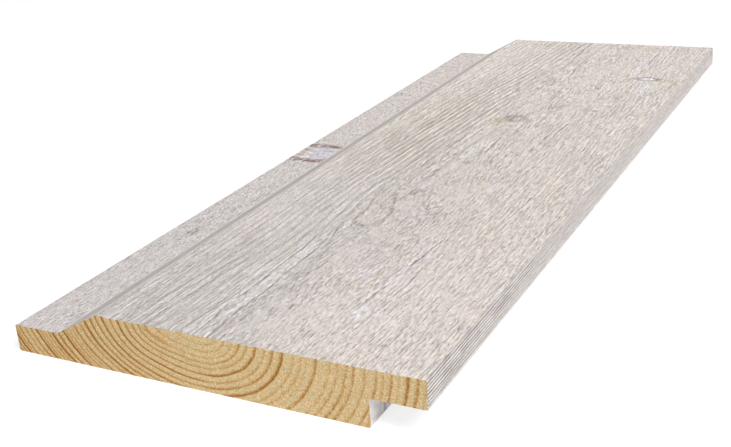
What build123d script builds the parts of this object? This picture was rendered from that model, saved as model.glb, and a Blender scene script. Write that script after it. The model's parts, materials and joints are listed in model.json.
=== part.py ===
from build123d import *
import os

# A double rebated cladding board, machined from one length of softwood and lying face up on its back.
# X runs across the board from the tongue edge to the lip edge, Y runs along the grain, and Z is up.
# The origin is the middle of the board's outline, on the plane of its back. All sizes are millimetres.

# The blank
LENGTH = 375.0
WIDTH = 148.0
THICKNESS = 19.0

# Front rebate: a thin tongue along one edge, then a sloped shoulder that climbs from it to the face
TONGUE_WIDTH = 18.0
TONGUE_THICKNESS = 9.5
SHOULDER_RUN = 18.0

# Back rebate: a thin lip along the other edge, which laps over the tongue of the next board
LIP_WIDTH = 18.0
LIP_THICKNESS = 9.5

# Eased arrises, and the small round that the cutter's nose leaves in an inner corner
FACE_ARRIS_RADIUS = 0.6
SHOULDER_BROW_RADIUS = 2.0
LIP_DRIP_RADIUS = 0.8
TONGUE_ARRIS_RADIUS = 0.6
BACK_ARRIS_RADIUS = 0.8
CUTTER_NOSE_RADIUS = 0.6


def section_corners():
    """The section's corners as ((x, z), radius), anticlockwise from the back of the tongue edge."""
    tongue_edge = -WIDTH / 2
    shoulder_foot = tongue_edge + TONGUE_WIDTH
    shoulder_brow = shoulder_foot + SHOULDER_RUN
    lip_edge = WIDTH / 2
    rebate_wall = lip_edge - LIP_WIDTH
    lip_underside = THICKNESS - LIP_THICKNESS
    return [
        ((tongue_edge, 0), BACK_ARRIS_RADIUS),
        ((rebate_wall, 0), BACK_ARRIS_RADIUS),
        ((rebate_wall, lip_underside), CUTTER_NOSE_RADIUS),
        ((lip_edge, lip_underside), LIP_DRIP_RADIUS),
        ((lip_edge, THICKNESS), FACE_ARRIS_RADIUS),
        ((shoulder_brow, THICKNESS), SHOULDER_BROW_RADIUS),
        ((shoulder_foot, TONGUE_THICKNESS), CUTTER_NOSE_RADIUS),
        ((tongue_edge, TONGUE_THICKNESS), TONGUE_ARRIS_RADIUS),
    ]


def cladding_board():
    """The moulded section run along the grain, and sawn square at both ends."""
    corners = section_corners()
    points = [point for point, _ in corners]
    radii = [radius for _, radius in corners]
    with BuildPart() as board:
        with BuildSketch(Plane.XZ):
            with BuildLine():
                FilletPolyline(*points, radius=radii, close=True)
            make_face()
        extrude(amount=LENGTH / 2, both=True)
    return board.part


os.makedirs("parts", exist_ok=True)
export_step(cladding_board(), "parts/cladding_board.step")
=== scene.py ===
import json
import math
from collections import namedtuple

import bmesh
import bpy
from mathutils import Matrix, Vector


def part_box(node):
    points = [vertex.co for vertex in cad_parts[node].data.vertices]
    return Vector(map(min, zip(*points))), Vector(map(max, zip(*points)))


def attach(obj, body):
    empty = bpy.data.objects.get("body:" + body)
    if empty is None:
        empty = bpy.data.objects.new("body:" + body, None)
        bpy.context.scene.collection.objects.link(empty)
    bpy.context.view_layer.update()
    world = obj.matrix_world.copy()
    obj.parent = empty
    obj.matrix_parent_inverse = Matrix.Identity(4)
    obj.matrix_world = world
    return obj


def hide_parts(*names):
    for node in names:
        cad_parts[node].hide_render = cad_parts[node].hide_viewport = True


bl_info = {
    "name": "Double Rebated Cladding Board",
    "version": (1, 0, 0),
    "blender": (4, 5, 0),
    "location": "View3D > Sidebar > Cladding",
    "description": "Models a sawn and stained cladding board round its packed solid, in a plain studio",
    "category": "Add Mesh",
}

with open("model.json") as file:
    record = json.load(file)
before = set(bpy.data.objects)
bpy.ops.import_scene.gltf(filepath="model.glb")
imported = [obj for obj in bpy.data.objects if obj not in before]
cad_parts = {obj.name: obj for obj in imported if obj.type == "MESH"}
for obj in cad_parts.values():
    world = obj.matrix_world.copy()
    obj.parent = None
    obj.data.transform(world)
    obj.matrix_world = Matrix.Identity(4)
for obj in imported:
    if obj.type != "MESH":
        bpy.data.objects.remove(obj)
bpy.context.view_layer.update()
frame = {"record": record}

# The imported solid, in metres: X across from the tongue edge to the lip edge, Y along the grain, Z up
NODE = "cladding_board"
BODY = "root"
PIECE = "stained_cladding_board"
LOWEST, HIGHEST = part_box(NODE)
MOUNT = {mount["name"]: Vector(mount["pos_m"]) for mount in frame["record"]["mounts"]}

# The section's lines, from the solid's box and from the middles of its mounting faces
TONGUE_EDGE = LOWEST.x
LIP_EDGE = HIGHEST.x
NEAR_END = LOWEST.y
FAR_END = HIGHEST.y
FACE = HIGHEST.z
WIDTH = LIP_EDGE - TONGUE_EDGE
LENGTH = FAR_END - NEAR_END
TONGUE_TOP = MOUNT["tongue_face"].z
LIP_UNDERSIDE = MOUNT["lip_underside"].z
SHOULDER_FOOT = 2 * MOUNT["tongue_face"].x - TONGUE_EDGE
SHOULDER_BROW = 2 * MOUNT["front_face"].x - LIP_EDGE
REBATE_WALL = 2 * MOUNT["lip_underside"].x - LIP_EDGE
SHOULDER_SLOPE = math.atan2(FACE - TONGUE_TOP, SHOULDER_BROW - SHOULDER_FOOT)
SQUARE = math.pi / 2

# Patterns are laid out in millimetres
MM = 0.001
SHOULDER_FOOT_MM = SHOULDER_FOOT / MM
SHOULDER_BROW_MM = SHOULDER_BROW / MM
LIP_EDGE_MM = LIP_EDGE / MM
REBATE_WALL_MM = REBATE_WALL / MM
LIP_UNDERSIDE_MM = LIP_UNDERSIDE / MM
FACE_MM = FACE / MM
NEAR_MM = NEAR_END / MM
FAR_MM = FAR_END / MM

# A knot or a cloud in the stain: its middle, and its half sizes across and along the grain, in millimetres
Knot = namedtuple("Knot", "x y across along")

# Grooves in the face: where each starts and ends, and how wide and deep it is, in millimetres
FACE_CHECKS = (
    ((-2, NEAR_MM), (-3.4, -104), 0.55, 0.36),
    ((3, NEAR_MM), (1.6, -108), 0.55, 0.34),
    ((36, -158), (40.6, -96), 0.65, 0.36),
    ((42, -172), (43.6, -126), 0.55, 0.26),
    ((19.4, -160), (20.8, -151), 0.6, 0.40),
    ((19.5, -13), (18.7, 14), 0.7, 0.40),
    ((2.2, -15), (3.2, 18), 0.65, 0.34),
    ((40.2, 16), (39.8, 46), 0.65, 0.30),
    ((-2.4, 60), (1.8, 138), 0.65, 0.34),
    ((8.4, 122), (7, FAR_MM), 0.65, 0.34),
    ((17.8, 110), (14.6, 131), 0.7, 0.40),
    ((49.6, 122), (47.6, FAR_MM), 0.7, 0.26),
    ((55, 145), (53.2, FAR_MM), 0.6, 0.24),
)
DARK_KNOT = Knot(16, 39, 4, 4.4)
SMALL_KNOT = Knot(17.4, -23.3, 1.6, 2.4)
PALE_KNOT = Knot(55.8, 117.2, 4.4, 2.2)
FACE_KNOTS = (DARK_KNOT, SMALL_KNOT, PALE_KNOT)
SPIKE_KNOT = Knot(-65, -5.4, 26, 11)
# Growth rings that close in loops on the face: the tip, where the sides start and end along the grain,
# the middle at that start and end, and the half width at them, in millimetres
FACE_LOOPS = (
    (-97, -90, -52, 7.2, 0, 5.4, 3.4),
    (-79.5, -75.5, -45, 6.8, 8.2, 2.3, 3),
)
REBATE_MARK_Y = -178.7
OLIVE_CLOUDS = (
    Knot(8.5, 33, 6.5, 10),
    Knot(67, 115, 5, 4.5),
)
TONGUE_CLOUDS = (
    Knot(-64.2, -103, 4, 9),
    Knot(-61.6, -77, 1.8, 6),
    Knot(-69.6, 95, 2, 5),
)
WHITE_CLOUDS = (
    Knot(58.5, 98, 6, 11),
    Knot(-0.8, -122, 1.5, 7),
    Knot(0.6, -160, 1.4, 20),
    Knot(27.5, -132, 3.2, 5),
    Knot(38.6, -126, 1.6, 18),
    Knot(38.8, -158, 2.6, 7),
    Knot(40.2, -112, 1.4, 6),
    Knot(38.5, -47, 2, 8),
    Knot(46, 140, 1.6, 26),
)
# Growth rings on the sawn ends: the radius round the pith in millimetres, and how dark the ring is
TONGUE_SIDE_RINGS = (
    (5, 0.3), (7.3, 0.35), (9.4, 0.4), (11.2, 0.5), (13, 0.5), (15.2, 0.6),
    (17.5, 0.8), (19.5, 0.5), (21.5, 0.75), (23.1, 0.55), (24.7, 0.6), (26.3, 0.85),
    (27.7, 0.5), (29.4, 0.6), (30.4, 0.3), (31.4, 0.4), (32.3, 0.35), (33.2, 1),
    (34.9, 0.7), (36.4, 0.9), (37.4, 0.4), (38.4, 0.35), (39.3, 0.4), (40.1, 1),
    (41.6, 0.6), (43, 0.4), (44.4, 0.5), (45.3, 0.4), (46.1, 1), (47.1, 0.45),
    (48, 0.6),
)
LIP_SIDE_RINGS = (
    (5, 0.4), (7.3, 0.4), (9.4, 0.35), (11.1, 0.5), (12.9, 0.4), (15.1, 0.8),
    (17.4, 0.4), (19.5, 0.6), (21.9, 1), (24.6, 0.4), (26.4, 0.45), (27.8, 0.3),
    (30, 0.85), (33.3, 0.5), (35.1, 0.65), (37.2, 0.9), (38.9, 0.8), (41.5, 0.65),
    (44.1, 0.7), (45.7, 0.5), (47.6, 0.65), (49.2, 0.3), (51.2, 1), (53.4, 0.8),
    (55.2, 0.4),
)


class Graph:
    """A node tree under construction, of a material or of a geometry modifier."""

    def __init__(self, tree):
        self.tree = tree

    def add(self, kind, inputs=None, **settings):
        """Adds a node: its settings first, then the values or links of its sockets, by name or number."""
        node = self.tree.nodes.new(kind)
        for name, value in settings.items():
            if name == "points":
                self.set_points(node.mapping, value)
            else:
                setattr(node, name, value)
        for name, value in (inputs or {}).items():
            self.feed(node.inputs[name], value)
        return node

    def value(self, kind, inputs, **settings):
        """Adds a node whose first output is a number."""
        return Value(self, self.add(kind, inputs, **settings).outputs[0])

    def feed(self, socket, value):
        """Links a socket to a Value, a node or another socket, or sets it to a plain value."""
        if isinstance(value, Value):
            value = value.socket
        elif isinstance(value, bpy.types.Node):
            value = value.outputs[0]
        if isinstance(value, bpy.types.NodeSocket):
            self.tree.links.new(value, socket)
        elif socket.type == "RGBA":
            socket.default_value = (*value[:3], 1)
        else:
            socket.default_value = value

    @staticmethod
    def set_points(mapping, points):
        """Makes a curve of straight lines through these points."""
        curve = mapping.curves[0]
        for place in points[len(curve.points):]:
            curve.points.new(*place)
        for point, place in zip(curve.points, points):
            point.location = place
            point.handle_type = "VECTOR"
        mapping.update()

    def mix(self, share, first, second):
        """A colour that goes from the first to the second as share goes from 0 to 1."""
        return self.add("ShaderNodeMix", {0: share, 6: first, 7: second}, data_type="RGBA").outputs[2]

    def coated(self, colour, *coats):
        """A colour under coats, laid on in this order, each with its share and its own colour."""
        for share, coat in coats:
            colour = self.mix(share, colour, coat)
        return colour

    def scaled(self, colour, factor):
        """A colour or vector times a number."""
        return self.add("ShaderNodeVectorMath", {0: colour, "Scale": factor}, operation="SCALE").outputs[0]


def math_method(operation):
    """A method that adds one Math node on a Value and whatever else it takes."""
    def method(self, *others):
        return self.maths(operation, self, *others)
    return method


class Value:
    """A node's socket that takes part in Python arithmetic."""

    def __init__(self, graph, socket):
        self.graph = graph
        self.socket = socket

    def maths(self, operation, *terms):
        """Adds one Math node on these terms, each a Value or a plain number."""
        return self.graph.value("ShaderNodeMath", dict(enumerate(terms)), operation=operation)

    def __rsub__(self, other):
        return self.maths("SUBTRACT", other, self)

    __add__ = __radd__ = math_method("ADD")
    __sub__ = math_method("SUBTRACT")
    __mul__ = __rmul__ = math_method("MULTIPLY")
    __truediv__ = math_method("DIVIDE")
    __abs__ = math_method("ABSOLUTE")
    root = math_method("SQRT")
    whole = math_method("FLOOR")
    part = math_method("FRACT")
    at_least = math_method("MAXIMUM")
    at_most = math_method("MINIMUM")

    def ramp(self, low, high, start, end):
        """Goes smoothly from start to end as this goes from low to high."""
        inputs = {"Value": self, "From Min": low, "From Max": high, "To Min": start, "To Max": end}
        return self.graph.value("ShaderNodeMapRange", inputs, interpolation_type="SMOOTHSTEP")

    def rise(self, low, high):
        return self.ramp(low, high, 0, 1)

    def fall(self, low, high):
        return self.ramp(low, high, 1, 0)

    def band(self, low, start, end, high):
        """1 from start to end, and smoothly 0 below low and above high."""
        return self.rise(low, start) * self.fall(end, high)

    def curve(self, points):
        """Follows straight lines through these points, from 0 to 1 both ways."""
        return self.graph.value("ShaderNodeFloatCurve", {"Value": self}, points=points)

    def chance(self, seed=0):
        """A random number from 0 to 1 for each value of this."""
        return self.graph.value("ShaderNodeTexWhiteNoise", {"W": self + seed}, noise_dimensions="1D")


class Place:
    """Where a point of the board lies, in millimetres."""

    def __init__(self, graph, position):
        self.graph = graph
        self.vector = graph.scaled(position, 1 / MM)
        axes = graph.add("ShaderNodeSeparateXYZ", {0: self.vector}).outputs
        self.x, self.y, self.z = (Value(graph, axis) for axis in axes)

    def noise(self, across, along, seed=0, detail=1, roughness=0.5, twist=0):
        """Smooth noise from about -0.5 to 0.5, with lumps of these sizes across and along the grain."""
        inputs = {0: self.vector, 1: (1 / across, 1 / along, 1 / across), 2: (seed, seed * 1.7, seed * 0.6)}
        shrunk = self.graph.add("ShaderNodeVectorMath", inputs, operation="MULTIPLY_ADD")
        inputs = {"Vector": shrunk, "Scale": 1, "Detail": detail, "Roughness": roughness}
        return self.graph.value("ShaderNodeTexNoise", inputs | {"Distortion": twist}) - 0.5

    def within(self, clouds):
        """From 0 outside to 1 in the middle of any of these clouds, with ragged sides."""
        ragged = 0.7 * self.noise(3, 7, seed=31, detail=3, roughness=0.6)
        total = (self.from_knot(clouds[0]) + ragged).fall(0.3, 1.1)
        for cloud in clouds[1:]:
            total = total.at_least((self.from_knot(cloud) + ragged).fall(0.3, 1.1))
        return total

    def from_knot(self, knot):
        """How far a point lies from a knot's middle, where 1 is the knot's rim."""
        across = (self.x - knot.x) / knot.across
        along = (self.y - knot.y) / knot.along
        return (across * across + along * along).root()


# Growth rings

END_PITH_X = 0.5
END_PITH_Z = 21
END_REACH = 60
RING_BULGE = 2.4
RING_BULGE_X = -19
BOLD_RINGS_X = -24
RESIN_SLOPE = 0.41
RESIN_LEVEL = 9.4
TONGUE_SIDE_STRETCH = 1.70
LIP_SIDE_STRETCH = 1.33
TONGUE_SIDE_SPREAD = 0.8
LIP_SIDE_SPREAD = 1.15
# How dark a ring is at steps from its own radius, in millimetres
RING_STEPS = ((-0.75, 0.12), (-0.30, 0.6), (-0.10, 1), (0.10, 1), (0.40, 0))
FACE_HEART_X = 15
FACE_HEART_DRIFT = 0.062
FACE_HEART_HEIGHT = 19.2
FACE_HEART_DIP = 8.7
FACE_RING_PITCH = 2.7


def end_radius(place):
    """How far a point of a sawn end lies from the pith just above the face, along flattened rings."""
    across = place.x - END_PITH_X
    level = across / across.ramp(-14, 14, TONGUE_SIDE_STRETCH, LIP_SIDE_STRETCH)
    down = place.z - END_PITH_Z
    radius = (level * level + down * down).root()
    radius -= RING_BULGE * abs(place.x - RING_BULGE_X).fall(0, 15) * place.z.rise(5, 18)
    return radius + 0.5 * place.noise(9, 90, seed=2.3) + 0.3 * place.noise(2.5, 40, seed=5.1)


def ring_points(rings, spread):
    """Points of a curve of rings that darken slowly outwards and end sharply."""
    points = [(0, 0)]
    for radius, dark in rings:
        for step, share in RING_STEPS:
            points.append(((radius + spread * step) / END_REACH, share * dark))
    return points + [(1, 0)]


def from_heart(place):
    """How far to the lip's side of the trunk's heart a point of the face lies."""
    return place.x - (FACE_HEART_DRIFT * place.y + FACE_HEART_X)


def face_rings(place):
    """The growth ring's number at a point of the sawn face, where the rings make long loops."""
    loop = place.y.band(-125, -50, 45, 125)
    height = FACE_HEART_HEIGHT - FACE_HEART_DIP * loop
    across = from_heart(place)
    radius = (across * across + height * height).root()
    radius += 3 * place.noise(22, 80, seed=1) + 0.9 * place.noise(7, 16, seed=8)
    for knot in FACE_KNOTS:
        radius += knot.across * 0.5 * place.from_knot(knot).fall(0.4, 2.6)
    return radius / FACE_RING_PITCH


def face_loops(place):
    """The rims of the rings that close in loops on the face, and the smooth wood inside them."""
    ragged = 0.3 * place.noise(2, 4, seed=12, detail=2)
    rims = cores = None
    for tip, start, end, near_middle, far_middle, near_half, far_half in FACE_LOOPS:
        middle = place.y.ramp(start, end, near_middle, far_middle)
        aside = (place.x - middle) / place.y.ramp(start, end, near_half, far_half)
        below = (place.y - start).at_most(0) / (start - tip)
        reach = (aside * aside + below * below).root() + ragged
        shown = place.y.fall(0.5 * (start + end), end)
        rim = reach.band(0.74, 0.96, 1, 1.2) * shown
        core = reach.fall(0.7, 1) * shown
        rims, cores = (rims.at_least(rim), cores.at_least(core)) if rims else (rim, core)
    return rims, cores


def late_wood(rings, start, top):
    """From 0 in the soft early wood to 1 in the hard late wood, which ends sharply."""
    share = rings.part()
    return share.band(start, top, top + 0.04, 1)


# Relief of the sawn and planed surfaces, as heights in millimetres

FaceGrain = namedtuple("FaceGrain", "zone lines crests cracks banks rims cores height")


def lined_side(place):
    """1 towards the shoulder, where the grain runs in lines."""
    return place.x.fall(-10, 4)


def scored_side(place):
    """1 towards the lip, where the saw scored the face along the grain."""
    return place.x.rise(28, 44)


def torn_zone(place):
    """1 in the broad middle of the face, where the saw tore the grain, and 0 towards both sides."""
    wander = 7 * place.noise(40, 26, seed=11)
    left = (place.x - 0.0133 * place.y + wander).rise(2, 9)
    right = (place.x - 10 * place.y.rise(60, 140) + wander).fall(35, 41)
    return left * right


def check_depths(place):
    """How deep the long ragged grooves cut into the face, and how high their banks stand."""
    wander = 2.6 * place.noise(40, 18, seed=7)
    wander += 1.3 * place.noise(4, 3.6, seed=9, detail=2, roughness=0.6)
    ragged = (place.noise(6, 8, seed=13, detail=2) * 3 + 0.8).at_least(0.15).at_most(1.2)
    aside = place.x - wander
    cracks = None
    for (start_x, start_y), (end_x, end_y), width, depth in FACE_CHECKS:
        lean = (end_x - start_x) / (end_y - start_y)
        beside = abs(aside - (lean * (place.y - start_y) + start_x))
        reach = ragged
        if start_y > NEAR_MM:
            reach = reach * place.y.rise(start_y - 4, start_y + 9)
        if end_y < FAR_MM:
            reach = reach * place.y.fall(end_y - 9, end_y + 4)
        crack = depth * beside.fall(0, width) * reach
        bank = beside.band(0.6 * width, 1.3 * width, 1.5 * width, 3.2 * width) * reach
        cracks, banks = (cracks + crack, banks + bank) if cracks else (crack, bank)
    return cracks, banks


def torn_height(place, zone, far, cores):
    """Lumps and swells that the saw tore up, calmer inside the loops."""
    lumps = place.noise(1.5, 4.2, seed=3, detail=2, twist=0.4) * (1 - 0.6 * cores)
    swells = place.noise(3.6, 9, seed=6, twist=0.4)
    height = (0.24 * zone + 0.16 * far + 0.10 * scored_side(place) + 0.10) * lumps
    return height + (0.16 * zone + 0.06 * far + 0.05) * swells


def knot_height(place):
    """The sunken rim of the dark knot, and the pale knot that stands proud within its own."""
    dark = place.from_knot(DARK_KNOT)
    pale = place.from_knot(PALE_KNOT)
    height = 0.14 * pale.fall(0.5, 1) - 0.22 * pale.band(0.75, 1, 1.05, 1.35)
    return height - 0.16 * dark.band(0.3, 0.7, 0.8, 1.25)


def face_grain(place):
    """The sawn face: late wood and its lines at the sides, torn lumps in the middle, cracks and knots."""
    rings = face_rings(place)
    zone = torn_zone(place)
    side = 1 - zone
    far = place.y.rise(-140, 120)
    heart = from_heart(place).fall(0, 6) * 0.6
    to_brow = place.x.fall(-36, -18)
    weight = rings.whole().chance(3) * 0.6 + 0.6
    broken = (place.noise(2.4, 24, seed=4, detail=3, roughness=0.6) * 2.4 + 0.8).at_least(0.05)
    strength = weight * broken * (0.1 * far + 0.85) * place.y.ramp(60, 150, 1, 0.8)
    seen = (side * (1 - 0.5 * scored_side(place)) * (1 - 0.6 * to_brow)).at_least(heart) * strength
    for knot in FACE_KNOTS:
        seen *= place.from_knot(knot).rise(0.8, 3)
    rims, cores = face_loops(place)
    seen *= 1 - cores
    cracks, banks = check_depths(place)
    height = 0.20 * late_wood(rings, 0.12, 0.80) * seen + torn_height(place, zone, far, cores)
    height += 0.12 * banks - cracks - 0.04 * rims + knot_height(place)
    between = (rings * 2 + 0.4 + 0.6 * place.noise(6, 50, seed=10)).part()
    thin = side * place.y.ramp(-80, -20, 0.45, 0.85) * between.band(0.6, 0.85, 0.9, 1)
    lines = seen * (late_wood(rings, 0.82, 0.93) + thin)
    crests = seen * late_wood(rings, 0.35, 0.66) * rings.part().fall(0.70, 0.84)
    return FaceGrain(zone, lines, crests, cracks, banks, rims, cores, height)


RIDGE_PITCH = 1.10
RIDGE_HEIGHT = 0.36


def lip_ridges(place):
    """Fine ridges that the cutter left along the lip's edge, strongest at the near end."""
    wander = 0.4 * place.noise(8, 70, seed=21)
    share = ((place.z + wander) / RIDGE_PITCH).part()
    ridge = share.band(0, 0.5, 0.5, 1)
    broken = (place.noise(1.2, 9, seed=22, detail=2) * 2.4 + 0.9).at_least(0.2).at_most(1.1)
    ridge = ridge * broken + 0.3 * place.noise(0.8, 5, seed=23)
    strength = place.y.ramp(-170, -70, 1, 0.5) * place.z.ramp(11.5, 15.5, 0.6, 1)
    return (ridge - 0.6) * strength + 0.6


FACE_PROUD = 0.32
SAWN_FLANK = 3 * MM


def relief_depth(place):
    """How far each point of the board lies under its nominal surface, in millimetres."""
    on_face = place.x.rise(SHOULDER_BROW_MM - 1, SHOULDER_BROW_MM + 5)
    on_face *= place.z.rise(FACE_MM - 0.6, FACE_MM - 0.1)
    on_lip = place.x.rise(LIP_EDGE_MM - 0.8, LIP_EDGE_MM - 0.05)
    on_lip *= place.z.band(LIP_UNDERSIDE_MM, LIP_UNDERSIDE_MM + 0.8, FACE_MM - 0.6, FACE_MM - 0.1)
    depth = (FACE_PROUD - face_grain(place).height).at_least(0) * on_face
    return depth + RIDGE_HEIGHT * (1 - lip_ridges(place)).at_least(0) * on_lip


# Modelling helpers

# How near counts as on a line, at a corner or on a cut, in metres
TOUCH = 1e-6
CORNER_REACH = 0.1 * MM
CUT_REACH = 1e-7
FLAT_ANGLE = math.radians(1)
ROUND_SEGMENTS = 4
NEARLY = 0.9


def deselect_objects():
    """Leaves nothing selected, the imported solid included."""
    bpy.ops.object.select_all(action="DESELECT")


def choose(board, kind, test):
    """In edit mode, selects just the vertices, edges or faces that pass the test."""
    bpy.ops.mesh.select_mode(type=kind)
    bpy.ops.mesh.select_all(action="DESELECT")
    mesh = bmesh.from_edit_mesh(board.data)
    items = {"VERT": mesh.verts, "EDGE": mesh.edges, "FACE": mesh.faces}[kind]
    chosen = [item for item in items if test(item)]
    if not chosen:
        raise RuntimeError("nothing on the board answers to a selection")
    for item in chosen:
        item.select_set(True)
    mesh.select_flush_mode()
    bmesh.update_edit_mesh(board.data)


def inside(face, left, right, low, high):
    """Whether a face's middle lies between these lines of the section."""
    middle = face.calc_center_median()
    return left < middle.x < right and low < middle.z < high


def cut(point, normal):
    """Cuts the selected faces along a plane."""
    bpy.ops.mesh.bisect(plane_co=point, plane_no=normal, threshold=CUT_REACH)


def divide(board, test, parts):
    """Divides each edge that passes the test into equal parts."""
    choose(board, "EDGE", test)
    bpy.ops.mesh.subdivide(number_cuts=parts - 1)


def drop(board, test):
    """Takes away the faces that pass the test."""
    choose(board, "FACE", test)
    bpy.ops.mesh.delete(type="FACE")


def cut_section(shape):
    """Cuts the board's section, as one flat face at the near end, from a plane of the blank's size."""
    deselect_objects()
    middle = ((TONGUE_EDGE + LIP_EDGE) / 2, NEAR_END, FACE / 2)
    bpy.ops.mesh.primitive_plane_add(size=1, location=middle, rotation=(SQUARE, 0, 0))
    board = bpy.context.object
    board.name = PIECE
    board.data.name = PIECE
    bpy.ops.object.transform_apply(location=True, rotation=True, scale=True)
    bpy.ops.object.mode_set(mode="EDIT")
    bpy.ops.mesh.select_all(action="SELECT")
    bpy.ops.transform.resize(value=(WIDTH, 1, FACE), center_override=middle)
    cut((0, 0, TONGUE_TOP), (0, 0, 1))
    choose(board, "FACE", lambda face: face.calc_center_median().z > TONGUE_TOP)
    uphill = (-math.sin(SHOULDER_SLOPE), 0, math.cos(SHOULDER_SLOPE))
    cut((SHOULDER_FOOT, 0, TONGUE_TOP), uphill)
    drop(board, lambda face: inside(face, TONGUE_EDGE, SHOULDER_BROW, TONGUE_TOP, FACE))
    bpy.ops.mesh.select_all(action="SELECT")
    cut((0, 0, LIP_UNDERSIDE), (0, 0, 1))
    choose(board, "FACE", lambda face: face.calc_center_median().z < LIP_UNDERSIDE)
    cut((REBATE_WALL, 0, 0), (1, 0, 0))
    drop(board, lambda face: inside(face, REBATE_WALL, LIP_EDGE, 0, LIP_UNDERSIDE))
    bpy.ops.mesh.select_all(action="SELECT")
    bpy.ops.mesh.dissolve_limited(angle_limit=FLAT_ANGLE)
    round_corners(board, shape)
    return board


def round_corners(board, shape):
    """Rounds each corner of the section by the radius that the cutters leave there."""
    corners = (
        (TONGUE_EDGE, 0, SQUARE, shape.back_arris),
        (REBATE_WALL, 0, SQUARE, shape.back_arris),
        (REBATE_WALL, LIP_UNDERSIDE, SQUARE, shape.cutter_nose),
        (LIP_EDGE, LIP_UNDERSIDE, SQUARE, shape.drip_arris),
        (LIP_EDGE, FACE, SQUARE, shape.face_arris),
        (SHOULDER_BROW, FACE, SHOULDER_SLOPE, shape.brow_round),
        (SHOULDER_FOOT, TONGUE_TOP, SHOULDER_SLOPE, shape.cutter_nose),
        (TONGUE_EDGE, TONGUE_TOP, SQUARE, shape.tongue_arris),
    )
    for x, z, turn, radius in corners:
        corner = Vector((x, NEAR_END, z))
        choose(board, "VERT", lambda vert: (vert.co - corner).length < CORNER_REACH)
        reach = radius * math.tan(turn / 2)
        bpy.ops.mesh.bevel(offset=reach, segments=ROUND_SEGMENTS, profile=0.5, affect="VERTICES")


def run_along_grain(board, shape):
    """Slices the section, runs it along the grain, and divides its strips into small faces."""
    face_start = SHOULDER_BROW + shape.brow_round
    face_end = LIP_EDGE - shape.face_arris
    spans = (
        (TONGUE_EDGE + shape.tongue_arris, SHOULDER_FOOT, shape.tongue_slices),
        (SHOULDER_FOOT, face_start, shape.shoulder_slices),
        (face_start, face_end, shape.face_slices),
    )
    stations = []
    for start, end, slices in spans:
        step = (end - start) / slices
        stations += [start + step * number for number in range(1, slices)]
    stations += [face_start]
    for x in stations:
        bpy.ops.mesh.select_all(action="SELECT")
        cut((x, 0, 0), (1, 0, 0))
    bpy.ops.mesh.select_all(action="SELECT")
    bpy.ops.mesh.extrude_region_move(TRANSFORM_OT_translate={"value": (0, LENGTH, 0)})
    bpy.ops.mesh.select_all(action="SELECT")
    bpy.ops.mesh.normals_make_consistent(inside=False)

    def across(edge):
        return abs(edge.verts[0].co.y - edge.verts[1].co.y) < MM

    def on_face(edge):
        return across(edge) and all(vert.co.z > FACE - TOUCH for vert in edge.verts)

    def on_lip(edge):
        return across(edge) and all(vert.co.x > LIP_EDGE - TOUCH for vert in edge.verts)

    divide(board, on_face, shape.face_columns)
    divide(board, on_lip, shape.lip_columns)
    for parts, whole in ((shape.bays, LENGTH), (shape.bay_rows, LENGTH / shape.bays)):
        divide(board, lambda edge: not across(edge) and edge.calc_length() > NEARLY * whole, parts)
    bpy.ops.object.mode_set(mode="OBJECT")


def raise_grain(board):
    """Presses the relief into the board with a geometry modifier, and applies it."""
    tree = bpy.data.node_groups.new("grain_relief", "GeometryNodeTree")
    tree.interface.new_socket("Geometry", in_out="INPUT", socket_type="NodeSocketGeometry")
    tree.interface.new_socket("Geometry", in_out="OUTPUT", socket_type="NodeSocketGeometry")
    graph = Graph(tree)
    start = graph.add("NodeGroupInput")
    place = Place(graph, graph.add("GeometryNodeInputPosition"))
    normal = graph.add("GeometryNodeInputNormal")
    level = graph.add("ShaderNodeVectorMath", {0: normal, 1: (1, 0, 1)}, operation="MULTIPLY")
    outward = graph.add("ShaderNodeVectorMath", {0: level}, operation="NORMALIZE")
    inward = graph.scaled(outward, relief_depth(place) * -MM)
    moved = graph.add("GeometryNodeSetPosition", {"Geometry": start, "Offset": inward})
    graph.add("NodeGroupOutput", {0: moved})
    modifier = board.modifiers.new("Grain relief", "NODES")
    modifier.node_group = tree
    bpy.ops.object.modifier_apply(modifier=modifier.name)
    bpy.data.node_groups.remove(tree)


# Finishes

SAWN_ROUGHNESS = 0.8
PLANED_ROUGHNESS = 0.75
BARE_ROUGHNESS = 0.85


def empty_graph(owner):
    """The cleared node graph of a material or a world."""
    owner.use_nodes = True
    owner.node_tree.nodes.clear()
    return Graph(owner.node_tree)


def new_material(name):
    """A material, its empty graph, and where each point lies on its object."""
    material = bpy.data.materials.new(name)
    graph = empty_graph(material)
    return material, graph, Place(graph, graph.add("ShaderNodeTexCoord").outputs["Object"])


def add_surface(graph, colour, roughness, shine, height):
    """Adds a material's shader, with its fine relief as a height in millimetres."""
    bump = graph.add("ShaderNodeBump", {"Strength": 1, "Distance": MM, "Height": height})
    inputs = {"Base Color": colour, "Roughness": roughness, "Specular IOR Level": shine, "Normal": bump}
    shader = graph.add("ShaderNodeBsdfPrincipled", inputs)
    graph.add("ShaderNodeOutputMaterial", {"Surface": shader})


def stain_tint(graph, place, finish):
    """The stain's own colour: warmer towards the lip and the far end, with small clouds and flecks."""
    side = place.x.rise(-22, 62)
    along = place.y.rise(-200, 190)
    warmth = side + (1 - side) * along + 0.7 * place.noise(26, 60, seed=41, detail=2)
    pink = place.noise(4, 9, seed=42, detail=3, roughness=0.7)
    green = place.noise(3.5, 8, seed=43, detail=3, roughness=0.7)
    hue = place.noise(0.9, 2.6, seed=44, detail=2, roughness=0.6)
    return graph.coated(
        finish.stain_cool,
        (warmth, finish.stain_warm),
        (pink.rise(0, 0.2) * 0.6, finish.stain_pink),
        (green.rise(0.03, 0.22) * 0.4, finish.stain_green),
        (hue.rise(0.03, 0.22) * 0.55, finish.stain_straw),
        (hue.fall(-0.22, -0.03) * 0.55, finish.stain_lilac),
    )


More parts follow.
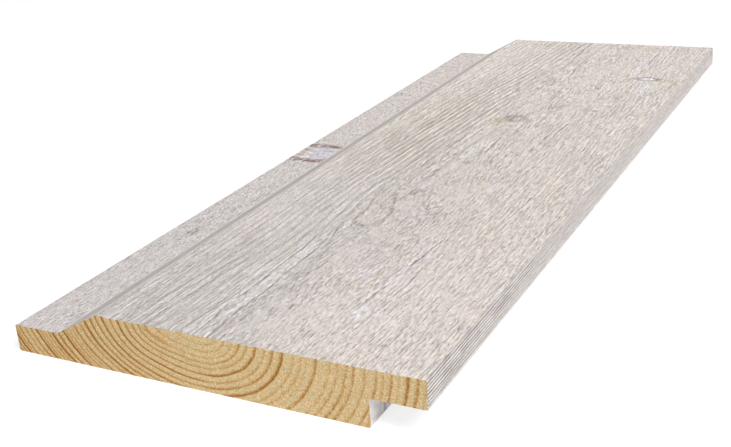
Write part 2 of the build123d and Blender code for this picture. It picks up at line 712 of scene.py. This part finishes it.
def face_fleck(place, grain):
    """Flecks of the sawn face that are too fine for its mesh, longer away from the near end."""
    left = lined_side(place)
    right = scored_side(place)
    side = 1 - grain.zone
    away = place.y.rise(-90, 80)
    close = place.noise(1, 3.4, seed=14, detail=2, roughness=0.55, twist=0.2)
    wide = place.noise(1.2, 7.5, seed=20, detail=2, roughness=0.55, twist=0.2)
    streaks = place.noise(0.65, 7, seed=26)
    field = close + away * (wide - close)
    field += (0.8 * left + 0.45 * right) * (streaks - field)
    patchy = place.noise(13, 22, seed=25, detail=2).ramp(-0.13, 0.13, 0.3, 1.25)
    calm = left * (0.4 * place.y.band(-150, -110, -60, -20) + 0.15)
    gain = place.y.ramp(-140, -60, 0.95, 1.4) * (1 - 0.25 * side * place.y.rise(20, 120))
    gain *= (1 + grain.zone * (patchy - 1)) * (1 - calm) * (1 - 0.4 * grain.cores)
    speckle = (field.rise(-0.13, 0.10) * 0.36 - 0.20) * gain
    dust = place.noise(0.75, 1.4, seed=16, detail=2, roughness=0.6)
    sand = place.noise(1, 2.8, seed=24, detail=2, roughness=0.6)
    grit = dust + away * (1.2 * sand - dust)
    hairs = place.noise(0.8, 18, seed=15) * side
    hairs *= 1 - 0.6 * place.x.rise(20, 50) * (1 - away)
    hairs *= 1 - 0.5 * (1 - left) * place.y.rise(10, 110)
    pits = close.fall(-0.26, -0.10)
    creases = abs(place.noise(1.7, 13, seed=18, twist=0.1)).fall(0, 0.05)
    creases *= place.noise(4, 8, seed=19, detail=2).rise(-0.02, 0.14)
    creases *= 0.7 * grain.zone + 0.5 * right + 0.3
    chips = place.noise(2.4, 5, seed=17, detail=2, twist=0.5).rise(0.12, 0.30)
    return speckle, grit, hairs, pits, creases, chips


def face_coats(place, finish, grain, on_face):
    """Coats of the sawn face: clouds, stain that pools in the lines, pale proud crests and ridges that are
    partly painted highlight, darker hollows and cracks that are partly painted shade, and painted highlight
    on the cracks' banks.
    """
    left = lined_side(place)
    shade = 0.15 * left * place.y.band(-60, -20, 40, 120)
    olive = place.within(OLIVE_CLOUDS) * 0.6 + shade + 0.1 * grain.cores
    bright = place.y.ramp(-100, 0, 0.25, 0.6)
    inked = 0.45 * left * place.y.rise(-60, 0) + 0.7
    grooves = grain.cracks.rise(0.03, 0.30) * 0.65 + grain.rims * 0.35
    return (
        (olive, finish.stain_olive),
        (place.within(WHITE_CLOUDS) * 0.75, finish.chip_stain_and_highlight),
        # Pale proud crests, partly thin stain on the late wood and partly painted highlight
        (grain.crests * on_face * bright, finish.pale_stain_and_highlight),
        (grain.lines * on_face * inked, finish.valley_stain_and_shade),
        # Darker hollows and paler proud parts: partly pooled and thin stain, partly painted shade and
        # painted highlight
        (grain.height.fall(-0.45, -0.05) * on_face * 0.35, finish.valley_stain_and_shade),
        (grain.height.rise(0.06, 0.40) * on_face * 0.4, finish.pale_stain_and_highlight),
        # Painted highlight on the raised banks beside the cracks
        (grain.banks * on_face * 0.6, finish.chip_stain_and_highlight),
        # Dark cracks and loop rims: stain held in them, and in the cracks painted shade as well
        (grooves * on_face, finish.crack_stain_and_shade),
    )


def lip_coats(place, finish, on_lip):
    """Coats of the lip's edge: greyer stain, with painted shade between the ridges and painted highlight on
    them.
    """
    ridges = lip_ridges(place)
    return (
        (on_lip * 0.8, finish.lip_stain),
        # Painted shade between the lip's ridges and painted highlight on them
        (ridges.fall(0.1, 0.55) * on_lip * 0.9, finish.lip_groove),
        (ridges.rise(0.6, 1) * on_lip * 0.4, finish.pale_stain_and_highlight),
    )


def face_knot_coats(place, finish):
    """Coats of the three knots in the face."""
    blur = 0.6 * place.noise(3, 3, seed=53, detail=3, roughness=0.6)
    dark = place.from_knot(DARK_KNOT) + blur
    rim = dark.band(0.2, 0.75, 0.85, 1.7) * place.x.ramp(11, 20, 0.65, 0.35)
    small = (place.from_knot(SMALL_KNOT) + blur).fall(0.3, 1.4)
    pale = place.from_knot(PALE_KNOT) + 0.4 * blur
    return (
        (rim + small * 0.5, finish.knot_rim),
        (pale.band(0.7, 1.1, 1.15, 1.9) * 0.7, finish.knot_rim),
        (pale.fall(0.45, 1), finish.knot_pale),
    )


def face_light(place, grain):
    """How much lighter the face's colour is made: most towards the lip, and on the lined side away from the
    near end; the rise towards the far end is partly painted light against the key lamp's falloff.
    """
    light = place.y.ramp(-60, 150, 1.02, 1.05) + 0.03 * place.x.rise(30, 50)
    light -= 0.03 * grain.zone * place.y.band(-80, -40, 20, 70)
    lined = 0.05 * place.y.rise(-130, -90) + 0.075 * place.y.rise(-60, 60)
    return light + lined_side(place) * lined


def sawn_finish(finish):
    """The sawn face and the ridged lip edge under pale stain, with painted highlight and painted shade on
    their relief.
    """
    material, graph, place = new_material("sawn_stained_face")
    grain = face_grain(place)
    speckle, grit, hairs, pits, creases, chips = face_fleck(place, grain)
    on_lip = place.x.rise(LIP_EDGE_MM - 0.7, LIP_EDGE_MM - 0.25)
    on_face = 1 - on_lip
    # Painted light on the shoulder's slope beside the brow, where the sawn stain reaches: it lifts the
    # slope, which is turned from the key lamp
    brow = place.x.fall(SHOULDER_BROW_MM - 0.5, SHOULDER_BROW_MM + 0.3)
    colour = graph.coated(
        stain_tint(graph, place, finish),
        *face_coats(place, finish, grain, on_face),
        *lip_coats(place, finish, on_lip),
        *face_knot_coats(place, finish),
        (brow, finish.pale_stain_and_highlight),
        (chips * on_face * 0.5, finish.chip_stain_and_highlight),
    )
    tone = 0.55 * speckle + 0.95 * grit + 0.50 * hairs
    # Darker pits and creases: partly stain held in them, partly painted shade
    tone -= 0.12 * pits + 0.26 * creases
    colour = graph.scaled(colour, tone * (on_face * 0.7 + 0.3) + face_light(place, grain))
    sunk = 0.12 * pits + 0.20 * creases + 0.20 * grain.lines
    fine = 0.60 * speckle + 0.50 * grit
    fine += (0.30 * hairs + 0.12 * chips - sunk) * on_face
    add_surface(graph, colour, SAWN_ROUGHNESS, finish.stain_shine, fine)
    return material


def shoulder_painted_light(place, finish, on_slope):
    """Coats of the shoulder: painted light towards its foot and its brow, and painted shade between, where
    the slope is turned from the key lamp.
    """
    foot, brow = SHOULDER_FOOT_MM, SHOULDER_BROW_MM
    middle = place.x.band(foot, foot + 5, brow - 7, brow - 3)
    # Share of painted shade in the shoulder's middle
    painted_shade = 0.8 * place.noise(5, 14, seed=68, detail=3, roughness=0.6)
    painted_shade += place.y.ramp(-120, -60, 0.12, 0.18)
    return (
        (on_slope * (1 - middle) * 0.5, finish.pale_stain_and_highlight),
        (on_slope * middle * painted_shade, finish.valley_stain_and_shade),
    )


def planed_finish(finish):
    """The planed tongue, shoulder, rebate and back under the same stain, with the tongue's knot, and
    painted light and shade on the shoulder.
    """
    material, graph, place = new_material("planed_stained_rebate")
    on_tongue = place.x.fall(SHOULDER_FOOT_MM - 0.6, SHOULDER_FOOT_MM - 0.1)
    on_slope = (1 - on_tongue) * place.x.fall(SHOULDER_BROW_MM, SHOULDER_BROW_MM + 4)
    in_rebate = place.x.rise(REBATE_WALL_MM - 1, REBATE_WALL_MM - 0.2)
    hair = place.noise(0.65, 2.4, seed=61, detail=2, roughness=0.6)
    speck = place.noise(0.5, 0.8, seed=62, detail=2, roughness=0.6)
    streak = place.noise(0.9, 5, seed=67, detail=2)
    patch = place.noise(9, 26, seed=63).rise(-0.05, 0.15)
    marks = hair.fall(-0.20, -0.05) * (patch * 0.45 + 0.15) * on_tongue
    marks = marks.at_least(hair.fall(-0.16, 0.06) * place.within(TONGUE_CLOUDS))
    rough = on_tongue * 0.85 + on_slope * 0.25 + 0.15
    dashes = streak.fall(-0.22, -0.04) * rough
    scribble = place.noise(2.2, 2.6, seed=69, detail=3, roughness=0.65)
    mark = in_rebate * abs(place.y - REBATE_MARK_Y).fall(0.2, 1.1) * (scribble * 2 + 0.7).at_least(0)
    knot = place.from_knot(SPIKE_KNOT) + 0.30 * place.noise(6, 5, seed=64, detail=3, roughness=0.6)
    cross = place.noise(5, 1.6, seed=65, detail=2)
    core = knot.fall(0.72, 0.95) * on_tongue
    heart = graph.mix(place.x.rise(-72, -65), finish.knot_tan, finish.knot_lilac)
    gaps = (place.noise(2.6, 2.6, seed=66, detail=2) * 3.4 + 0.7).at_least(0).at_most(1)
    bark = knot.band(0.62, 0.84, 0.98, 1.2) * on_tongue * gaps
    colour = graph.mix(in_rebate * 0.8, stain_tint(graph, place, finish), finish.rebate_stain)
    colour = graph.coated(
        graph.scaled(colour, in_rebate * (scribble * 0.9 + 0.05) + 1),
        (mark * 0.8, finish.rebate_mark),
        (on_tongue * 0.15, finish.stain_lilac),
        (marks, finish.valley_stain_and_shade),
        (dashes * 0.25, finish.valley_stain_and_shade),
        (streak.rise(0.04, 0.24) * rough * 0.4, finish.pale_stain_and_highlight),
        # Painted light at the shoulder's foot and brow, and painted shade in its middle
        *shoulder_painted_light(place, finish, on_slope),
        (core * 0.8, heart),
        (core * cross.rise(0.02, 0.16), finish.pale_stain_and_highlight),
        (core * cross.fall(-0.20, -0.06) * 0.6, finish.knot_rim),
        (bark, finish.knot_bark),
    )
    tone = rough * (hair * 0.85 + speck * 1.6) * place.y.ramp(-150, -80, 0.85, 1.35)
    colour = graph.scaled(colour, tone * (1 - 0.5 * core) + 1.04)
    fine = rough * (0.45 * hair + 0.2 * speck + 0.3 * streak) - 0.10 * dashes
    fine += 0.05 * core * cross - 0.12 * bark
    add_surface(graph, colour, PLANED_ROUGHNESS, finish.stain_shine, fine)
    return material


def end_rings(place):
    """From 0 in the early wood of a sawn end to 1 in its darkest rings."""
    share = end_radius(place) / END_REACH
    to_tongue = share.curve(ring_points(TONGUE_SIDE_RINGS, TONGUE_SIDE_SPREAD))
    to_lip = share.curve(ring_points(LIP_SIDE_RINGS, LIP_SIDE_SPREAD))
    rings = to_tongue + (place.x - END_PITH_X).rise(-4, 4) * (to_lip - to_tongue)
    bold = 0.25 * place.x.fall(-60, 12) + 0.25 * abs(place.x - BOLD_RINGS_X).fall(6, 22)
    bold -= 0.3 * place.x.rise(10, 50)
    drift = place.noise(10, 60, seed=71)
    fray = place.noise(0.8, 30, seed=75, detail=2, roughness=0.6)
    return (rings * (drift * 0.8 + fray * 1.6 + 0.9 + bold)).at_most(1)


def end_grain_finish(finish):
    """Bare sawn end grain: honey early wood, brown late wood, and the saw's fine tearing."""
    material, graph, place = new_material("bare_end_grain")
    dark = end_rings(place)
    pore = place.noise(0.45, 6, seed=72, detail=3, roughness=0.7)
    cloud = place.noise(1.1, 30, seed=73, detail=3, roughness=0.65)
    blush = place.noise(0.7, 30, seed=74, detail=3, roughness=0.7)
    beside = place.z + RESIN_SLOPE * place.x - RESIN_LEVEL
    smear = beside.band(-0.9, 0, 0.1, 0.9)
    smear *= place.x.band(-22, -19, -13, -10)
    colour = graph.coated(
        finish.early_wood,
        (cloud.rise(-0.2, 0.2), finish.early_wood_pale),
        (blush.rise(0, 0.16) * 0.7, finish.early_wood_pink),
        (blush.fall(-0.16, 0) * 0.7, finish.early_wood_olive),
        (place.x.fall(-60, 12) * 0.08, finish.late_wood),
        (smear * 0.8, finish.resin),
        (dark.rise(0, 0.5) * 0.65, finish.resin),
        (dark.rise(0.15, 0.95), finish.late_wood),
    )
    colour = graph.scaled(colour, pore * 2 + 1)
    fine = 0.05 * dark + 0.30 * pore
    add_surface(graph, colour, BARE_ROUGHNESS, finish.bare_shine, fine)
    return material


# What a user may set

def setting(kind, **limits):
    """A function that makes one kind of setting from its name, description and default."""
    def make(name, description, default):
        return kind(name=name, description=description, default=default, **limits)
    return make


length = setting(bpy.props.FloatProperty, min=0, unit="LENGTH", precision=5)
angle = setting(bpy.props.FloatProperty, subtype="ANGLE")
portion = setting(bpy.props.FloatProperty, min=0, max=1, subtype="FACTOR")
watts = setting(bpy.props.FloatProperty, min=0, unit="POWER")
lens = setting(bpy.props.FloatProperty, min=1, unit="CAMERA")
count = setting(bpy.props.IntProperty, min=1)
spot = setting(bpy.props.FloatVectorProperty, subtype="TRANSLATION", unit="LENGTH")


def tint(name, description, levels):
    """A colour, given as on a screen from 0 to 255 and kept as the linear colour that a shader takes."""
    def linear(level):
        share = level / 255
        return share / 12.92 if share <= 0.04045 else ((share + 0.055) / 1.055) ** 2.4
    make = setting(bpy.props.FloatVectorProperty, min=0, max=1, subtype="COLOR")
    return make(name, description, [linear(level) for level in levels])


class CladdingShape(bpy.types.PropertyGroup):
    """Rounds of the section, and how finely its faces are divided."""

    face_arris: length("Face arris", "Radius between the face and the lip's edge", 0.6 * MM)
    brow_round: length("Brow round", "Radius where the shoulder meets the face", 2 * MM)
    drip_arris: length("Drip arris", "Radius under the lip's edge", 0.8 * MM)
    tongue_arris: length("Tongue arris", "Radius along the tongue's top edge", 0.6 * MM)
    back_arris: length("Back arris", "Radius along both edges of the back", 0.8 * MM)
    cutter_nose: length("Cutter nose", "Radius in the inner corners of both rebates", 0.6 * MM)
    tongue_slices: count("Tongue slices", "Strips across the tongue", 4)
    shoulder_slices: count("Shoulder slices", "Strips across the shoulder", 8)
    face_slices: count("Face slices", "Strips across the face", 26)
    face_columns: count("Face columns", "Columns in each strip of the face", 7)
    lip_columns: count("Lip columns", "Columns up the lip's edge", 28)
    bays: count("Bays", "Bays along the grain", 15)
    bay_rows: count("Bay rows", "Rows along the grain in each bay", 20)


class CladdingFinish(bpy.types.PropertyGroup):
    """Colours and shine of the stain, the knots and the bare ends."""

    stain_cool: tint("Cool stain", "Stain towards the tongue", (213, 206, 203))
    stain_warm: tint("Warm stain", "Stain towards the lip", (230, 220, 213))
    stain_pink: tint("Pink cloud", "Soft pink clouds in the stain", (226, 212, 209))
    stain_green: tint("Green cloud", "Soft green-grey clouds in the stain", (214, 213, 200))
    stain_straw: tint("Straw fleck", "Yellowish flecks where the wood shows through", (226, 218, 198))
    stain_lilac: tint("Lilac fleck", "Cool flecks where the stain is thick", (218, 212, 220))
    # Also painted shade in the face's hollows and in the shoulder's middle
    valley_stain_and_shade: tint("Valley", "Stain where it pools in the grain", (150, 142, 130))
    # Partly painted shade in the cracks
    crack_stain_and_shade: tint("Crack", "Olive-brown shade in the cracks", (140, 130, 110))
    stain_olive: tint("Olive cloud", "Olive clouds beside the knots", (206, 197, 172))
    # Also painted highlight on the banks beside the cracks
    chip_stain_and_highlight: tint("Chip", "Pale lumps of thick stain on the torn grain", (238, 232, 236))
    # Also painted highlight on the face's crests and ridges and on the lip's ridges, and painted light at
    # the shoulder's foot and brow
    pale_stain_and_highlight: tint("Ridge", "Stain on the proud grain", (244, 240, 236))
    lip_stain: tint("Lip stain", "Greyer stain on the lip's edge", (200, 194, 191))
    lip_groove: tint("Lip groove", "Shade between the ridges of the lip's edge", (130, 122, 122))
    rebate_stain: tint("Rebate stain", "Thin lilac-grey stain on the rebate's wall", (220, 216, 216))
    rebate_mark: tint("Rebate mark", "Purple streak on the rebate's wall", (128, 108, 160))
    stain_shine: portion("Stain shine", "Specular level of the stain", 0.08)
    knot_rim: tint("Knot rim", "Dark rim of a knot under the stain", (142, 131, 132))
    knot_bark: tint("Knot bark", "Bark beside the knot across the tongue", (132, 108, 98))
    knot_tan: tint("Knot tan", "Outer part of the knot across the tongue", (206, 192, 184))
    knot_lilac: tint("Knot core", "Core of the knot across the tongue", (214, 208, 220))
    knot_pale: tint("Pale knot", "Core of the pale knot in the face", (246, 236, 242))
    early_wood: tint("Early wood", "Soft part of each growth ring", (211, 186, 138))
    early_wood_pale: tint("Pale early wood", "Palest part of each growth ring", (226, 205, 163))
    early_wood_pink: tint("Pink early wood", "Pinkish flecks in the early wood", (232, 187, 138))
    early_wood_olive: tint("Olive early wood", "Greenish flecks in the early wood", (207, 192, 138))
    resin: tint("Resin", "Smear of resin, and the soft side of each dark ring", (200, 146, 72))
    late_wood: tint("Late wood", "Hard part of each growth ring", (158, 107, 46))
    bare_shine: portion("Bare shine", "Specular level of the bare ends", 0.1)


class CladdingStage(bpy.types.PropertyGroup):
    """Camera, light and floor."""

    camera_place: spot("Camera place", "Where the camera stands", (183.3 * MM, -411.04 * MM, 164.61 * MM))
    camera_heading: angle("Camera heading", "Turn from the grain towards the tongue", math.radians(29.04))
    camera_dip: angle("Camera dip", "Angle below the horizon", math.radians(21.97))
    camera_roll: angle("Camera roll", "Turn about the line of sight", math.radians(-4.43))
    camera_lens: lens("Camera lens", "Focal length on a 36 mm sensor", 53.64)
    key_place: spot("Key lamp place", "Where the large soft lamp hangs", (2.24, -1.20, 3.08))
    key_power: watts("Key lamp power", "Power of the large soft lamp", 126)
    key_size: length("Key lamp size", "Side of the large soft lamp", 1.6)
    front_place: spot("Front lamp place", "Where the lamp before the near end stands", (1.5, -2.5, 0.55))
    front_power: watts("Front lamp power", "Power of the lamp before the near end", 18)
    front_size: length("Front lamp size", "Side of the lamp before the near end", 1.2)
    sky_level: portion("Sky level", "Strength of the even light from all round", 0.30)
    floor_size: length("Floor size", "Side of the floor", 12)
    floor_shade: portion("Floor shade", "How much light the floor throws back on the board", 0.85)
    floor_glow: portion("Floor glow", "White that the floor shows even in shadow", 0.68)
    shadow_share: portion("Shadow share", "How much of its shading the white floor shows", 0.45)
    shadow_reach: length("Shadow reach", "How far round the board the floor shows all its shading", 0.45)
    shadow_end: length("Shadow end", "How far from the board the floor is plain white", 1)


# Operators

SMOOTH_ANGLE = math.radians(50)
END_FACING = 0.5
WHITE = (1, 1, 1)
FLOOR_DROP = 0.1 * MM
CAMERA_NEAR = 10 * MM


class CLADDING_OT_add_board(bpy.types.Operator):
    """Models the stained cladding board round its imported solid"""

    bl_idname = "cladding.add_board"
    bl_label = "Add Cladding Board"

    def execute(self, context):
        shape = context.scene.cladding_shape
        finish = context.scene.cladding_finish
        board = cut_section(shape)
        run_along_grain(board, shape)
        self.dress(board, shape, finish)
        raise_grain(board)
        bpy.ops.object.shade_smooth_by_angle(angle=SMOOTH_ANGLE)
        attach(board, BODY)
        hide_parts(NODE)
        return {"FINISHED"}

    @staticmethod
    def dress(board, shape, finish):
        """Gives the long faces their stain and leaves the sawn ends bare."""
        for material in (planed_finish(finish), sawn_finish(finish), end_grain_finish(finish)):
            board.data.materials.append(material)
        lowest_sawn = LIP_UNDERSIDE + shape.drip_arris

        def bare(face):
            return abs(face.normal.y) > END_FACING

        def sawn(face):
            middle = face.calc_center_median()
            above = middle.x > SHOULDER_BROW - SAWN_FLANK and middle.z > lowest_sawn
            return above and not bare(face)

        bpy.ops.object.mode_set(mode="EDIT")
        for slot, test in ((1, sawn), (2, bare)):
            choose(board, "FACE", test)
            board.active_material_index = slot
            bpy.ops.object.material_slot_assign()
        bpy.ops.object.mode_set(mode="OBJECT")


class CLADDING_OT_set_stage(bpy.types.Operator):
    """Sets the floor, the lamps, the even light and the camera"""

    bl_idname = "cladding.set_stage"
    bl_label = "Set Stage"

    def execute(self, context):
        stage = context.scene.cladding_stage
        self.lay_floor(stage)
        self.hang_lamp("key_lamp", stage.key_place, stage.key_power, stage.key_size)
        self.hang_lamp("front_lamp", stage.front_place, stage.front_power, stage.front_size)
        self.light_sky(context.scene, stage)
        self.place_camera(context.scene, stage)
        context.scene.view_settings.view_transform = "Standard"
        return {"FINISHED"}

    @staticmethod
    def seen(graph):
        """1 where the camera sees a thing, also mirrored or through glass, or else 0."""
        path = graph.add("ShaderNodeLightPath").outputs
        rays = ("Is Camera Ray", "Is Glossy Ray", "Is Transmission Ray")
        camera, glossy, through = (Value(graph, path[ray]) for ray in rays)
        return (camera + glossy + through).at_most(1)

    def lay_floor(self, stage):
        """Lays a floor that looks white but for the board's shadow."""
        deselect_objects()
        bpy.ops.mesh.primitive_plane_add(size=stage.floor_size, location=(0, 0, -FLOOR_DROP))
        floor = bpy.context.object
        floor.name = "studio_floor"
        material, graph, place = new_material("white_floor")
        from_board = (place.x * place.x + place.y * place.y).root()
        away = from_board.rise(stage.shadow_reach / MM, stage.shadow_end / MM)
        plain = graph.add("ShaderNodeBsdfDiffuse", {"Color": [stage.floor_shade] * 3})
        shaded = graph.add("ShaderNodeBsdfDiffuse", {"Color": [stage.shadow_share] * 3})
        glow = graph.add("ShaderNodeEmission", {"Color": WHITE, "Strength": stage.floor_glow})
        near = graph.add("ShaderNodeAddShader", {0: shaded, 1: glow})
        far = graph.add("ShaderNodeEmission", {"Color": WHITE, "Strength": 1})
        white = graph.add("ShaderNodeMixShader", {0: away, 1: near, 2: far})
        surface = graph.add("ShaderNodeMixShader", {0: self.seen(graph), 1: plain, 2: white})
        graph.add("ShaderNodeOutputMaterial", {"Surface": surface})
        floor.data.materials.append(material)

    @staticmethod
    def hang_lamp(name, place, power, size):
        """Hangs a square lamp that faces the board."""
        bpy.ops.object.light_add(type="AREA", location=place)
        lamp = bpy.context.object
        lamp.name = name
        lamp.data.energy = power
        lamp.data.size = size
        lamp.rotation_euler = (-Vector(place)).to_track_quat("-Z", "Y").to_euler()

    def light_sky(self, scene, stage):
        """Makes a sky that looks white and lights the board evenly."""
        sky = bpy.data.worlds.new("white_sky")
        scene.world = sky
        graph = empty_graph(sky)
        strength = self.seen(graph) * (1 - stage.sky_level) + stage.sky_level
        light = graph.add("ShaderNodeBackground", {"Color": WHITE, "Strength": strength})
        graph.add("ShaderNodeOutputWorld", {"Surface": light})

    @staticmethod
    def place_camera(scene, stage):
        """Sets the camera where the board is seen as in the photo."""
        bpy.ops.object.camera_add(location=stage.camera_place)
        camera = bpy.context.object
        camera.name = "photo_camera"
        camera.data.lens = stage.camera_lens
        heading = Matrix.Rotation(stage.camera_heading, 3, "Z")
        dip = Matrix.Rotation(SQUARE - stage.camera_dip, 3, "X")
        roll = Matrix.Rotation(stage.camera_roll, 3, "Z")
        camera.rotation_euler = (heading @ dip @ roll).to_euler()
        camera.data.clip_start = CAMERA_NEAR
        scene.camera = camera


class CLADDING_PT_sidebar(bpy.types.Panel):
    """Lists the board's and the stage's settings and operators"""

    bl_idname = "CLADDING_PT_sidebar"
    bl_label = "Cladding Board"
    bl_space_type = "VIEW_3D"
    bl_region_type = "UI"
    bl_category = "Cladding"

    def draw(self, context):
        scene = context.scene
        groups = (
            (scene.cladding_shape, None),
            (scene.cladding_finish, CLADDING_OT_add_board.bl_idname),
            (scene.cladding_stage, CLADDING_OT_set_stage.bl_idname),
        )
        for group, operator in groups:
            column = self.layout.column(align=True)
            for name in group.__annotations__:
                column.prop(group, name)
            if operator:
                column.operator(operator)


SETTINGS = {
    "cladding_shape": CladdingShape,
    "cladding_finish": CladdingFinish,
    "cladding_stage": CladdingStage,
}
CLASSES = (*SETTINGS.values(), CLADDING_OT_add_board, CLADDING_OT_set_stage, CLADDING_PT_sidebar)


def register():
    for each in CLASSES:
        bpy.utils.register_class(each)
    for name, group in SETTINGS.items():
        setattr(bpy.types.Scene, name, bpy.props.PointerProperty(type=group))


def unregister():
    for name in SETTINGS:
        delattr(bpy.types.Scene, name)
    for each in reversed(CLASSES):
        bpy.utils.unregister_class(each)


def main():
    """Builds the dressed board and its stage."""
    register()
    bpy.ops.cladding.add_board()
    bpy.ops.cladding.set_stage()


if __name__ == "__main__":
    main()
